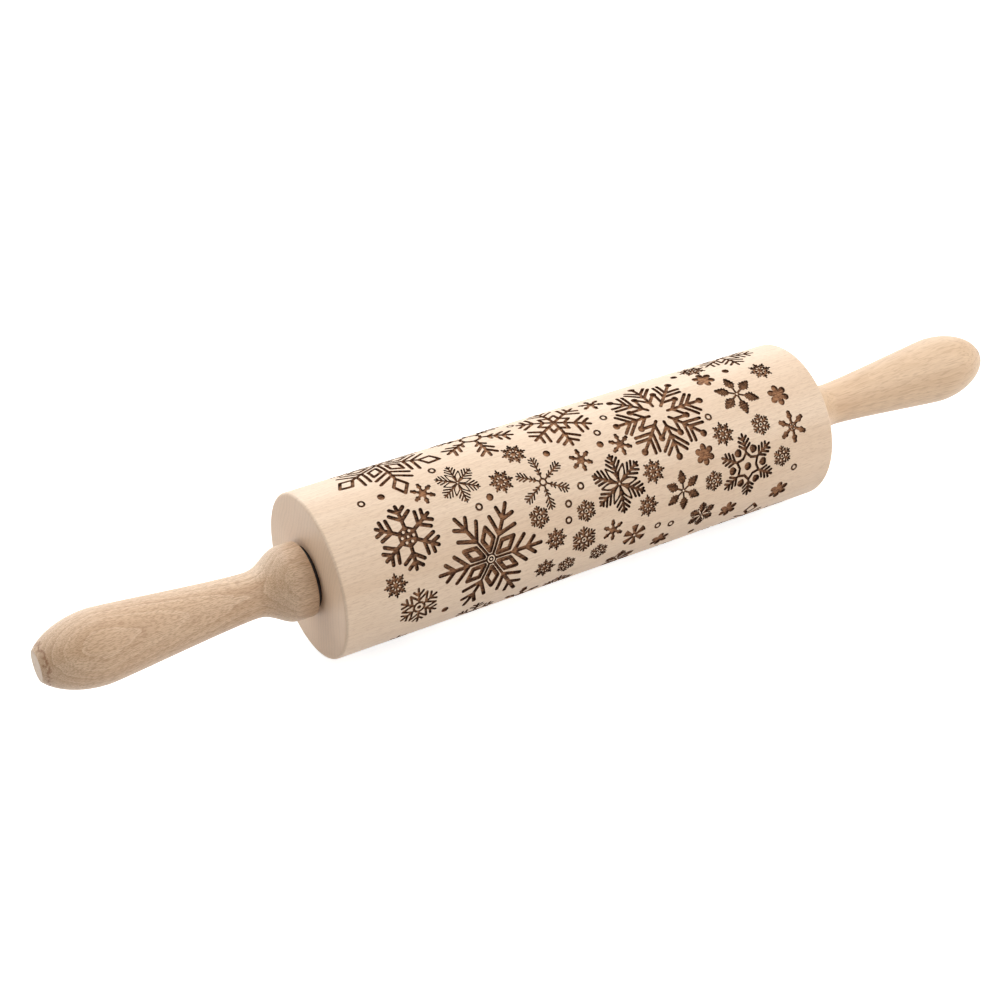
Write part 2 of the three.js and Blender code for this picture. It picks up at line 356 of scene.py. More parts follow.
# Where the motifs lie: along as a share of half the barrel, round as a share of a full turn from the
# top towards the front, and the radius as a share of the barrel's. Each lies also half way round and
# end for end, so the list covers half of the barrel.
MOTIF_SHARES = [
    ("diamond_tipped", -0.667, -0.0667, 0.763),
    ("ringed_star", -0.454, 0.221, 0.686),
    ("chevrons", 0.342, 0.053, 0.634),
    ("hexagon_heart", -0.727, 0.1325, 0.4),
    ("open_fern", -0.314, -0.053, 0.514),
    ("diamond_heart", -0.024, -0.009, 0.455),
    ("petalled", 0.081, 0.162, 0.375),
    ("star_heart", 0.612, 0.211, 0.418),
    ("fern", 0.778, -0.0764, 0.425),
    ("petalled_thin", -0.483, 0.064, 0.275),
    ("kites", -0.732, 0.272, 0.265),
    ("thin_fern", -0.195, 0.1145, 0.342),
    ("leaved", 0.33, 0.216, 0.262),
    ("leaved", 0.669, 0.0653, 0.292),
    ("paddled", 0.829, 0.163, 0.206),
    ("kites_dense", -0.087, 0.248, 0.175),
    ("wedged", 0.126, 0.2806, 0.166),
    ("petalled_dense", 0.417, 0.289, 0.203),
    ("eight_rays", -0.811, 0.211, 0.154),
    ("eight_rays", -0.337, 0.0883, 0.158),
    ("eight_rays", -0.2405, 0.0403, 0.157),
    ("eight_rays", -0.199, 0.2264, 0.148),
    ("eight_rays", -0.2405, 0.286, 0.148),
    ("eight_rays", 0.2243, 0.1606, 0.157),
    ("eight_rays", 0.18, 0.2228, 0.148),
    ("eight_rays", 0.54, 0.134, 0.157),
    ("eight_rays", 0.8225, 0.027, 0.154),
    ("asterisk", 0.1586, -0.034, 0.154),
    ("eight_rays", 0.6117, -0.0472, 0.18),
    ("rosette", -0.2495, 0.1744, 0.137),
    ("rosette", -0.0685, 0.1914, 0.135),
    ("rosette", -0.15, 0.2983, 0.132),
    ("rosette", -0.019, 0.2928, 0.132),
    ("rosette", 0.702, 0.1394, 0.137),
    ("rosette", 0.462, 0.2178, 0.134),
    ("rosette", 0.765, 0.2144, 0.137),
    ("asterisk", -0.6135, 0.0625, 0.148),
    ("asterisk", -0.026, 0.0961, 0.15),
    ("asterisk", 0.1414, 0.0906, 0.15),
    ("asterisk", 0.0324, 0.2494, 0.148),
    ("flower", 0.6, 0.0025, 0.142),
    ("flower", 0.8216, 0.0942, 0.142),
    ("flower", 0.4432, 0.1606, 0.137),
    ("flower", 0.5405, 0.3019, 0.132),
    ("flower", 0.7649, 0.2964, 0.142),
    ("flower", 0.255, 0.3264, 0.132),
    ("hexagon_heart", -0.487, 0.371, 0.277),
    ("paddled", -0.301, 0.371, 0.26),
    ("kites_dense", -0.15, 0.372, 0.225),
    ("petalled_dense", 0.096, 0.355, 0.225),
]
DOT_SHARES = [
    (-0.7514, 0.0431), (-0.4, 0.1103), (-0.627, 0.3061), (-0.1324, 0.0625), (0.0694, 0.0786),
    (0.7045, -0.0025), (0.5261, -0.0417), (0.4081, 0.3444),
]
RING_SHARES = [
    (-0.8261, 0.045), (-0.5369, 0.0192), (-0.4505, 0.1214), (-0.1532, -0.0528), (-0.1297, 0.1675),
    (-0.1414, 0.1975), (-0.0658, 0.1431), (0.1459, 0.0219), (0.0847, 0.0528), (0.5126, 0.0933),
    (0.2243, 0.2758), (0.2829, 0.2836), (0.8189, 0.2472),
]


def both_places(along_share, turn_share):
    """A motif's own place on the unrolled barrel, and the one half way round and end for end."""
    along = along_share * HALF_BARREL
    return ((along, turn_share * GIRTH), (-along, (turn_share + 0.5) * GIRTH))


def on_arm(centre, angle, radius, out, beside):
    """A point of a flake, given in shares of its radius out along an arm and beside it."""
    cosine, sine = radius * math.cos(angle), radius * math.sin(angle)
    return (centre[0] + out * cosine - beside * sine, centre[1] + out * sine + beside * cosine)


def round_stroke(start, end, width):
    """The outline of a straight stroke with round ends."""
    heading = math.atan2(end[1] - start[1], end[0] - start[0])
    steps = WIDE_END_STEPS if width > WIDE_STROKE else NARROW_END_STEPS
    outline = []
    for centre, first in ((end, heading - QUARTER_TURN), (start, heading + QUARTER_TURN)):
        for step in range(steps + 1):
            outline.append(on_arm(centre, first + math.pi * step / steps, width / 2, 1, 0))
    return outline


def disc(centre, radius):
    """The outline of a round dot."""
    return [on_arm(centre, FULL_TURN * step / DISC_STEPS, radius, 1, 0) for step in range(DISC_STEPS)]


def stepped(outline):
    """The outline with extra points, so that no edge is too long to follow the barrel's curve."""
    result = []
    for (x0, y0), (x1, y1) in zip(outline, outline[1:] + outline[:1]):
        steps = max(1, math.ceil(abs(y1 - y0) / OUTLINE_STEP))
        result += [(x0 + (x1 - x0) * k / steps, y0 + (y1 - y0) * k / steps) for k in range(steps)]
    return result


class Engraving:
    """Outlines on the unrolled barrel, each with its look. Where they overlap, the last one counts."""

    def __init__(self):
        self.outlines = []
        self.looks = []

    def add(self, outline, look):
        """Keeps an outline where it reaches the upper half's sheet, also from beyond the barrel's seam."""
        heights = [y for _, y in outline]
        for shift in (-GIRTH, 0, GIRTH):
            if max(heights) + shift > -SHEET_EDGE and min(heights) + shift < SHEET_EDGE:
                self.outlines.append(stepped([(x, y + shift) for x, y in outline]))
                self.looks.append(look)

    def add_ring(self, centre, outer, inner, look, inner_look):
        """A disc with one look, and a smaller one in its middle with another."""
        self.add(disc(centre, outer), look)
        if inner:
            self.add(disc(centre, inner), inner_look)

    def add_flake(self, kind, centre, radius):
        """One flake, arm by arm, and then the places that it leaves whole."""
        shares = FLAKE_SHARES[kind]
        arms = shares.get("arms", ARM_COUNT)
        depth, burn = BOLD_LOOK if kind in BOLD_KINDS and radius > BOLD_RADIUS else FINE_LOOK
        look = (depth, shares.get("burn", burn))
        first = QUARTER_TURN + (math.pi / arms if shares.get("tilted") else 0)

        def chains(key, angle, sides, width="width", chain_look=look):
            for chain in shares.get(key, []):
                for side in sides:
                    points = [on_arm(centre, angle, radius, out, side * beside) for out, beside in chain]
                    for start, end in zip(points, points[1:]):
                        self.add(round_stroke(start, end, shares[width] * radius), chain_look)

        def solids(key, angle, solid_look=look):
            for half in shares.get(key, []):
                closed = [(out, -beside) for out, beside in half]
                closed += [(out, beside) for out, beside in reversed(half) if beside]
                self.add([on_arm(centre, angle, radius, *point) for point in closed], solid_look)

        def dots(key, angle, dot_look=look):
            for out, size in shares.get(key, []):
                self.add(disc(on_arm(centre, angle, radius, out, 0), size * radius), dot_look)

        angles = [first + FULL_TURN * arm / arms for arm in range(arms)]
        for angle in angles:
            half_way = angle + math.pi / arms
            chains("arm", angle, (1,))
            chains("fine_arm", angle, (1,), "fine_width")
            chains("side", angle, (1, -1))
            chains("between", half_way, (1, -1), "between_width" if "between_width" in shares else "width")
            solids("solid", angle)
            solids("solid_between", half_way)
            chains("veins", angle, (1, -1), "vein_width", BOLD_LOOK)
            dots("dots", angle)
            dots("dots_between", half_way)
        if "centre_dot" in shares:
            self.add(disc(centre, shares["centre_dot"] * radius), look)
        for outer, inner in shares.get("rings", []):
            self.add_ring(centre, outer * radius, inner * radius, look, WHOLE)
        for outer, inner in shares.get("islands", []):
            self.add_ring(centre, outer * radius, inner * radius, WHOLE, look)
        for angle in angles:
            half_way = angle + math.pi / arms
            dots("holes_between", half_way, WHOLE)
            solids("whole_between", half_way, WHOLE)


def whole_engraving():
    """Every outline that reaches the sheet of the upper half."""
    engraving = Engraving()
    for kind, along, turn, radius in MOTIF_SHARES:
        for place in both_places(along, turn):
            engraving.add_flake(kind, place, radius * BARREL_RADIUS)
    for along, turn in DOT_SHARES:
        for place in both_places(along, turn):
            engraving.add(disc(place, DOT_RADIUS), FINE_LOOK)
    for along, turn in RING_SHARES:
        for place in both_places(along, turn):
            engraving.add_ring(place, RING_RADIUS, RING_HOLE, FINE_LOOK, WHOLE)
    return engraving


def triangulated_half(engraving):
    """The upper half's sheet, from the back over the top to the front, cut along every outline.

    The triangles come back as their corners, their depth and how dark they are burnt.
    """
    end = HALF_BARREL - RIM_ROUNDING
    columns = round(2 * end / SHEET_STEP)
    xs = np.linspace(-end, end, columns + 1)
    ys = np.linspace(-SHEET_EDGE, SHEET_EDGE, SHEET_ROWS + 1)
    points = [Vector((x, y)) for y in ys for x in xs]
    in_row = columns + 1
    edges = []
    for column in range(columns):
        edges += [(first + column, first + column + 1) for first in (0, SHEET_ROWS * in_row)]
    for row in range(SHEET_ROWS):
        edges += [(row * in_row + column, (row + 1) * in_row + column) for column in (0, columns)]
    faces = []
    for outline in engraving.outlines:
        faces.append(list(range(len(points), len(points) + len(outline))))
        points += [Vector(point) for point in outline]
    cut = geometry.delaunay_2d_cdt(points, edges, faces, 0, CUT_TOLERANCE)
    flat_points, _, triangles, _, _, origins = cut
    kept = []
    for triangle, origin in zip(triangles, origins):
        middle = sum(flat_points[corner].y for corner in triangle) / 3
        if abs(middle) < SHEET_EDGE:
            look = engraving.looks[max(origin)] if origin else WHOLE
            kept.append((triangle, *look))
    return flat_points, kept


class Shell:
    """Points and faces for one mesh. Points are (along, across, up) from the pin's middle."""

    def __init__(self):
        self.points = []
        self.faces = []
        self.rules = []
        self.burns_and_shades = []

    # A face's burn is how dark it is burnt, and on walls it also carries their painted shade.
    def add_face(self, corners, rule, burn=0.0):
        self.faces.append(corners)
        self.rules.append(rule)
        self.burns_and_shades.append(burn)

    def add_lathe(self, profile, rows, rules):
        """Rings about the axis through (along, radius) places, with a shading rule for each band."""
        first = len(self.points)
        for along, radius in profile:
            for row in range(rows):
                angle = FULL_TURN * row / rows - QUARTER_TURN
                self.points.append((along, -radius * math.sin(angle), radius * math.cos(angle)))
        for band, rule in enumerate(rules):
            for row in range(rows):
                after = (row + 1) % rows
                near, far = first + band * rows, first + (band + 1) * rows
                self.add_face((near + row, near + after, far + after, far + row), rule)

    def mesh_object(self, name, materials):
        """The shell as an object in the frame, its doubled points merged and its faces shaded by rule."""
        mesh = bpy.data.meshes.new(name)
        mesh.from_pydata([(x, y, z + AXIS_HEIGHT) for x, y, z in self.points], [], self.faces)
        for material in materials:
            mesh.materials.append(material)
        rules = mesh.attributes.new("rule", "INT", "FACE")
        rules.data.foreach_set("value", self.rules)
        # The burn attribute holds each face's burn, and on walls their painted shade as well.
        burns_and_shades = mesh.attributes.new("burn", "FLOAT", "FACE")
        burns_and_shades.data.foreach_set("value", self.burns_and_shades)
        mesh.polygons.foreach_set("material_index", [int(burn > 0) for burn in self.burns_and_shades])
        merge_doubles(mesh)
        shade(mesh)
        piece = bpy.data.objects.new(name, mesh)
        bpy.context.scene.collection.objects.link(piece)
        return piece


def merge_doubles(mesh):
    """Joins points that lie on each other."""
    work = bmesh.new()
    work.from_mesh(mesh)
    bmesh.ops.remove_doubles(work, verts=work.verts, dist=MERGE_DISTANCE)
    work.to_mesh(mesh)
    work.free()


def shade(mesh):
    """Gives each corner the normal of the true surface that its face stands for."""
    rules = np.zeros(len(mesh.polygons), int)
    mesh.attributes["rule"].data.foreach_get("value", rules)
    normals = []
    for polygon, rule in zip(mesh.polygons, rules):
        for corner in polygon.vertices:
            place = mesh.vertices[corner].co
            outward = Vector((0, place.y, place.z - AXIS_HEIGHT))
            if rule == FLAT or outward.length < MERGE_DISTANCE:
                normals.append(polygon.normal)
            elif rule == RIM:
                centre = math.copysign(HALF_BARREL - RIM_ROUNDING, place.x)
                rise = outward.length - (BARREL_RADIUS - RIM_ROUNDING)
                normals.append((outward.normalized() * rise + Vector((place.x - centre, 0, 0))).normalized())
            else:
                normals.append(outward.normalized() * (-1 if rule == BORED else 1))
    mesh.shade_smooth()
    mesh.normals_split_custom_set(normals)
    mesh.attributes.remove(mesh.attributes["rule"])


def wrapped(place, depth):
    """A point of the sheet, wrapped round the barrel at a depth below its surface."""
    angle = place.y / BARREL_RADIUS
    radius = BARREL_RADIUS - depth
    return (place.x, -radius * math.sin(angle), radius * math.cos(angle))


def add_engraved_half(shell, flat_points, triangles, side):
    """One half of the engraved skin: side is 1 for the top, and -1 turns it half round, end for end."""
    placed = {}

    def point(corner, depth):
        if (corner, depth) not in placed:
            placed[corner, depth] = len(shell.points)
            shell.points.append(tuple(side * value for value in wrapped(flat_points[corner], depth)))
        return placed[corner, depth]

    beside = {}
    for triangle, depth, burn in triangles:
        a, b, c = (flat_points[corner] for corner in triangle)
        counter = (b - a).cross(c - a) > 0
        corners = triangle[::-1] if counter == (side > 0) else triangle
        shell.add_face([point(corner, depth) for corner in corners], TURNED, burn)
        for start, end in zip(corners, corners[1:] + corners[:1]):
            beside[start, end] = (depth, burn)
    # Each wall takes its deeper floor's burn and is darkened further by a painted shade.
    for (start, end), (depth, burn) in beside.items():
        other, other_burn = beside.get((end, start), (depth, burn))
        if depth < other:
            corners = (point(end, depth), point(start, depth), point(start, other), point(end, other))
            shell.add_face(corners, FLAT, other_burn + WALL_SHADE)


def barrel_shell():
    """The barrel: its engraved skin, its soft rims, its end faces with a shallow seat, and its bore."""
    shell = Shell()
    flat_points, triangles = triangulated_half(whole_engraving())
    for side in (1, -1):
        add_engraved_half(shell, flat_points, triangles, side)
    seat_radius = FLANGE_RADIUS + SEAT_GAP
    rim = HALF_BARREL - RIM_ROUNDING
    profile, rules = [], []
    for step in range(RIM_STEPS + 1):
        angle = QUARTER_TURN * step / RIM_STEPS
        inset = RIM_ROUNDING * (1 - math.cos(angle))
        profile.append((rim + RIM_ROUNDING * math.sin(angle), BARREL_RADIUS - inset))
        rules.append(RIM if step < RIM_STEPS else FLAT)
    middle = (BARREL_RADIUS - RIM_ROUNDING + seat_radius) / 2
    seat = HALF_BARREL - COUNTERBORE_DEPTH
    profile += [(HALF_BARREL, middle), (HALF_BARREL, seat_radius), (seat, seat_radius), (seat, BORE_RADIUS)]
    rules += [FLAT, BORED, FLAT, BORED]
    profile += [(-along, radius) for along, radius in reversed(profile)]
    rules += rules[-2::-1]
    shell.add_lathe(profile, 2 * SHEET_ROWS, rules)
    return shell


def curve(*controls):
    """Points along a cubic curve, without its start."""
    points = []
    for step in range(1, CURVE_STEPS + 1):
        t = step / CURVE_STEPS
        u = 1 - t
        weights = (u ** 3, 3 * u * u * t, 3 * u * t * t, t ** 3)
        points.append(tuple(sum(w * point[i] for w, point in zip(weights, controls)) for i in (0, 1)))
    return points


def handle_profile():
    """The handle's outline as (along, radius), from the rod's hole round to the middle of the tip."""
    hole_radius = ROD_RADIUS + SEAT_GAP
    hole_end = ROD_END + SEAT_GAP
    collar_end = COLLAR_BACK + COLLAR_LENGTH
    neck = collar_end + COVE_LENGTH
    grip = neck + SWELL_LENGTH
    back = COLLAR_BACK + COLLAR_SETBACK
    outline = [(hole_end, 0), (hole_end, hole_radius), (back, hole_radius)]
    outline.append((back, COLLAR_RADIUS - COLLAR_BACK_INSET))
    for step in range(1, EDGE_STEPS + 1):
        t = step / EDGE_STEPS
        along = back + COLLAR_BACK_ROUNDING * t * t
        outline.append((along, COLLAR_RADIUS - COLLAR_BACK_INSET * (1 - t) ** 2))
    outline.append((collar_end, COLLAR_RADIUS))
    outline += curve(
        (collar_end, COLLAR_RADIUS),
        (collar_end + COVE_LENGTH * COVE_SHARES[0], COLLAR_RADIUS),
        (collar_end + COVE_LENGTH * COVE_SHARES[1], NECK_RADIUS),
        (neck, NECK_RADIUS),
    )
    outline += curve(
        (neck, NECK_RADIUS),
        (neck + SWELL_LENGTH * SWELL_SHARES[0], NECK_RADIUS),
        (neck + SWELL_LENGTH * SWELL_SHARES[1], GRIP_RADIUS),
        (grip, GRIP_RADIUS),
    )
    round_end = TIP - grip
    outline += curve(
        (grip, GRIP_RADIUS),
        (grip + round_end * END_SHARES[0], GRIP_RADIUS),
        (grip + round_end * END_SHARES[1], TIP_RADIUS + (GRIP_RADIUS - TIP_RADIUS) * END_SHARES[2]),
        (TIP - TIP_EDGE, TIP_RADIUS),
    )
    outline += [(TIP, TIP_RADIUS - TIP_EDGE), (TIP, 0)]
    return outline


def turned_piece(name, outline, side, material):
    """A form turned about the pin's axis from an outline that starts and ends on it."""
    mesh = bpy.data.meshes.new(name)
    work = bmesh.new()
    rings = []
    for along, radius in outline:
        ring = []
        for row in range(HANDLE_ROWS if radius else 1):
            angle = side * FULL_TURN * row / HANDLE_ROWS
            across, up = -radius * math.sin(angle), radius * math.cos(angle)
            ring.append(work.verts.new((side * along, across, AXIS_HEIGHT + up)))
        rings.append(ring * (HANDLE_ROWS // len(ring)))
    for near, far in zip(rings, rings[1:]):
        for row in range(HANDLE_ROWS):
            after = (row + 1) % HANDLE_ROWS
            corners = dict.fromkeys((near[row], near[after], far[after], far[row]))
            work.faces.new(list(corners)).smooth = True
    bmesh.ops.recalc_face_normals(work, faces=work.faces)
    for edge in work.edges:
        edge.smooth = edge.calc_face_angle(0) < SHARP_ANGLE
    work.to_mesh(mesh)
    work.free()
    mesh.materials.append(material)
    piece = bpy.data.objects.new(name, mesh)
    bpy.context.scene.collection.objects.link(piece)
    return piece


def srgb(red, green, blue):
    """A colour written as 0 to 255 sRGB values, in the linear values that Blender takes."""
    linear = []
    for value in (red, green, blue):
        share = value / 255
        linear.append(share / 12.92 if share <= 0.04045 else ((share + 0.055) / 1.055) ** 2.4)
    return (*linear, 1)


class Surface:
    """A material whose nodes are added by short calls."""

    def __init__(self, name, **shader_values):
        """A new material, with values for its shader's sockets, an underscore for each space."""
        self.material = bpy.data.materials.new(name)
        self.material.use_nodes = True
        self.tree = self.material.node_tree
        self.shader = self.tree.nodes["Principled BSDF"]
        for socket, value in shader_values.items():
            self.shader.inputs[socket.replace("_", " ")].default_value = value

    def node(self, kind, inputs=None, **settings):
        """A node with its settings, and its inputs given as values or as other nodes' outputs."""
        made = self.tree.nodes.new("ShaderNode" + kind)
        for key, value in settings.items():
            setattr(made, key, value)
        for socket, value in (inputs or {}).items():
            self.feed(made.inputs[socket], value)
        return made

    def feed(self, socket, value):
        if isinstance(value, bpy.types.NodeSocket):
            self.tree.links.new(value, socket)
        else:
            socket.default_value = value

    def place(self):
        """The object's own coordinates, in millimetres."""
        coordinates = self.node("TexCoord").outputs["Object"]
        return self.node("VectorMath", {0: coordinates, 3: 1 / MM}, operation="SCALE").outputs[0]

    def facing(self):
        """How squarely the surface faces along the pin, from 0 to 1."""
        normal = self.node("TexCoord").outputs["Normal"]
        return self.math("ABSOLUTE", self.part(normal, 0))

    def part(self, vector, axis):
        """A vector's part along the pin, across it or up, for an axis of 0, 1 or 2."""
        return self.node("SeparateXYZ", {0: vector}).outputs[axis]

    def math(self, operation, first, second=0.0):
        return self.node("Math", {0: first, 1: second}, operation=operation).outputs[0]

    def noise(self, place, scale, detail=2.0, roughness=0.5):
        """Noise that changes as often per millimetre along each axis as the scale says."""
        stretched = self.node("Mapping", {"Vector": place, "Scale": scale}).outputs[0]
        inputs = {"Vector": stretched, "Scale": 1, "Detail": detail, "Roughness": roughness}
        return self.node("TexNoise", inputs).outputs[0]

    def ramp(self, value, low, high, to_low=0.0, to_high=1.0):
        """A value spread from one range to another, and held at its ends."""
        inputs = {"Value": value, "From Min": low, "From Max": high, "To Min": to_low, "To Max": to_high}
        return self.node("MapRange", inputs, interpolation_type="SMOOTHSTEP").outputs[0]

    def mix(self, share, first, second):
        """The first colour with a share of the second. A Mix node's colours are its sockets 6 and 7."""
        mixed = self.node("Mix", data_type="RGBA")
        self.feed(mixed.inputs[0], share)
        self.feed(mixed.inputs[6], first)
        self.feed(mixed.inputs[7], second)
        return mixed.outputs[2]

    def bump(self, height, distance, strength=1.0):
        made = self.node("Bump", {"Height": height, "Distance": distance, "Strength": strength})
        self.feed(self.shader.inputs["Normal"], made.outputs[0])


# How often the patterns of each surface change, per millimetre along the pin, across it and up
BANDS_SCALE = (0.008, 0.09, 0.09)
SLOW_WAVER_SCALE = (0.006, 0.03, 0.03)
RAGGED_WAVER_SCALE = (0.1, 0.35, 0.35)
FIBRES_SCALE = (0.05, 2.2, 2.2)
TORN_PATCHES_SCALE = (0.7, 0.9, 0.9)
TORN_LINE_SCALE = (0.3, 0.45, 0.45)
TORN_LINE_GAPS_SCALE = (0.3, 0.4, 0.4)
BLOTCHES_SCALE = (0.8, 0.8, 0.8)
STREAKS_SCALE = (0.25, 2.5, 2.5)
DRAWN_LINES_SCALE = (0.05, 6, 6)
MOULDED_GRAIN_SCALE = (3, 3, 3)

# How high the relief of each surface is, and a fleck's depth as a share of the fibres' height
FIBRES_HEIGHT = 0.06 * MM
FLECK_DEPTH_SHARE = -1.2
BURNT_HEIGHT = 0.15 * MM
DRAWN_LINES_HEIGHT = 0.01 * MM
MOULDED_GRAIN_HEIGHT = 0.02 * MM

# Lightly and deeply burnt wood, whose deep tone the grooves' painted shade also reaches, steel and nylon,
# each from one tone to the other
BURN_AND_SHADE_TONES = ((184, 132, 94), (60, 35, 24))
STEEL_TONES = ((176, 178, 181), (202, 204, 206))
# The nylon's tones match the dark gap between collar and barrel, partly its own colour and partly painted
# shade.
NYLON_AND_GAP_SHADE_TONES = ((28, 20, 16), (42, 32, 27))


def tree_distance(surface, place, centre, waver):
    """Distance from the tree's middle, wavering slowly along the wood and a little from place to place."""
    slow = surface.noise(place, SLOW_WAVER_SCALE, detail=1)
    ragged = surface.noise(place, RAGGED_WAVER_SCALE, detail=1)
    across = surface.math("SUBTRACT", surface.part(place, 1), centre[0])
    up = surface.math("SUBTRACT", surface.part(place, 2), centre[1])
    squares = surface.math("ADD", surface.math("MULTIPLY", across, across), surface.math("MULTIPLY", up, up))
    shift = surface.math("ADD", surface.math("MULTIPLY", slow, waver), ragged)
    return surface.math("ADD", surface.math("SQRT", squares), shift)


def late_wood(surface, ring, growth):
    """How much dark late wood is at a place in its ring. Some rings are deeper in tone than others."""
    ring_number = surface.math("FLOOR", ring)
    chance = surface.node("TexWhiteNoise", {"W": ring_number}, noise_dimensions="1D").outputs["Value"]
    ring_depth = surface.ramp(chance, 0, 1, 0.35, 1)
    return surface.math("MULTIPLY", surface.ramp(growth, 0.35, 0.97), ring_depth)


def torn_patches(surface, place, end_facing):
    """How torn the grain is at a place, where it faces along the pin."""
    torn = surface.ramp(surface.noise(place, TORN_PATCHES_SCALE, detail=3), 0.5, 0.62)
    return surface.math("MULTIPLY", torn, surface.ramp(end_facing, 0.5, 0.85))


def torn_line(surface, place):
    """How near a place is to the ragged line that the lathe's tool tore beside a handle's tip."""
    along = surface.math("ABSOLUTE", surface.part(place, 0))
    offset = surface.math("SUBTRACT", along, (TIP - TORN_LINE_INSET) / MM)
    shift = surface.noise(place, TORN_LINE_SCALE, detail=4, roughness=0.65)
    stray = TORN_LINE_STRAY / MM
    ragged = surface.ramp(shift, 0.3, 0.7, -stray, stray)
    distance = surface.math("ABSOLUTE", surface.math("ADD", offset, ragged))
    near, far = (length / MM for length in TORN_LINE_FADE)
    broken = surface.ramp(surface.noise(place, TORN_LINE_GAPS_SCALE), 0.35, 0.5)
    return surface.math("MULTIPLY", surface.ramp(distance, near, far, 1, 0), broken)


def wood_material(name, wood):
    """Beech: soft tonal bands, growth rings, fibre streaks and short dark flecks along the grain."""
    surface = Surface(name, Roughness=wood["roughness"])
    pale, deep, end_tone, ring_tone, fleck_tone = (srgb(*tone) for tone in wood["tones"])
    place = surface.place()
    base = surface.mix(surface.ramp(surface.noise(place, BANDS_SCALE), 0.3, 0.7), pale, deep)

    distance = tree_distance(surface, place, wood["ring_centre"], wood["waver"])
    ring = surface.math("MULTIPLY", distance, wood["ring_scale"])
    growth = surface.math("FRACT", ring)
    late = late_wood(surface, ring, growth)
    base = surface.mix(surface.math("MULTIPLY", late, wood["ring_strength"]), base, ring_tone)
    base = surface.mix(surface.ramp(growth, 0, 0.25, wood["line_strength"], 0), base, pale)

    fibres = surface.noise(place, FIBRES_SCALE, detail=3, roughness=0.6)
    base = surface.mix(surface.ramp(fibres, 0.35, 0.75, 0, 0.3), base, ring_tone)
    length, width = wood["fleck"]
    dashes = surface.noise(place, (1 / length, 1 / width, 1 / width), detail=1)
    flecks = surface.ramp(dashes, *wood["fleck_range"], 0, wood["fleck_strength"])
    base = surface.mix(flecks, base, fleck_tone)

    end_facing = surface.facing()
    end_lines = surface.mix(surface.math("MULTIPLY", late, wood["end_strength"]), end_tone, ring_tone)
    base = surface.mix(surface.ramp(end_facing, 0.7, 0.98, 0, 0.75), base, end_lines)
    if "torn_strength" in wood:
        torn = surface.math("MULTIPLY", torn_patches(surface, place, end_facing), wood["torn_strength"])
        base = surface.mix(torn, base, fleck_tone)
        torn = surface.math("MULTIPLY", torn_line(surface, place), wood["torn_line_strength"])
        base = surface.mix(torn, base, fleck_tone)

    surface.feed(surface.shader.inputs["Base Color"], base)
    relief = surface.math("ADD", fibres, surface.math("MULTIPLY", flecks, FLECK_DEPTH_SHARE))
    surface.bump(relief, FIBRES_HEIGHT, 0.5)
    return surface.material


def burnt_and_shaded_material():
    """Wood burnt by the engraving: browner floors, blotched and rough, with the walls and the floor beside
    them darkened by painted shade.
    """
    surface = Surface("burnt_wood_and_painted_shade", Roughness=0.8, Specular_IOR_Level=0.25)
    place = surface.place()
    # The burn attribute is each floor's burn, and on walls it also holds their painted shade.
    burn = surface.node("Attribute", attribute_name="burn").outputs["Fac"]
    blotches = surface.noise(place, BLOTCHES_SCALE, detail=3, roughness=0.6)
    relief = surface.math("ADD", blotches, surface.noise(place, STREAKS_SCALE))
    uneven = surface.ramp(relief, 0.75, 1.25, -0.3, 0.3)
    # Painted shade: ambient occlusion darkens the floor near the walls, as shade in the groove's corners,
    # and burnt is the burn with this painted shade added.
    reach = surface.node("AmbientOcclusion", {"Distance": EDGE_SHADE_REACH}, samples=8, only_local=True)
    painted_wall_shade = surface.math("SUBTRACT", 1, reach.outputs["AO"])
    burnt = surface.math("ADD", burn, surface.math("MULTIPLY", painted_wall_shade, EDGE_SHADE))
    darkness = surface.ramp(surface.math("ADD", burnt, uneven), 0.2, 1.39)
    base = surface.mix(darkness, *(srgb(*tone) for tone in BURN_AND_SHADE_TONES))
    surface.feed(surface.shader.inputs["Base Color"], base)
    surface.bump(relief, BURNT_HEIGHT, 0.7)
    return surface.material


def steel_material():
    """Bright drawn steel with fine lines along the rod."""
    surface = Surface("drawn_steel", Metallic=1.0, Roughness=0.3, Anisotropic=0.4)
    lines = surface.noise(surface.place(), DRAWN_LINES_SCALE)
    base = surface.mix(lines, *(srgb(*tone) for tone in STEEL_TONES))
    surface.feed(surface.shader.inputs["Base Color"], base)
    surface.bump(lines, DRAWN_LINES_HEIGHT, 0.5)
    return surface.material


def plastic_material():
    """Dark moulded nylon with a fine satin grain, its tones warmed to the dark gap between collar and
    barrel: partly the nylon's own colour, partly painted shade.
    """
    surface = Surface("dark_nylon", Roughness=0.5)
    grain = surface.noise(surface.place(), MOULDED_GRAIN_SCALE, detail=3)
    base = surface.mix(grain, *(srgb(*tone) for tone in NYLON_AND_GAP_SHADE_TONES))
    surface.feed(surface.shader.inputs["Base Color"], base)
    surface.bump(grain, MOULDED_GRAIN_HEIGHT, 0.6)
    return surface.material


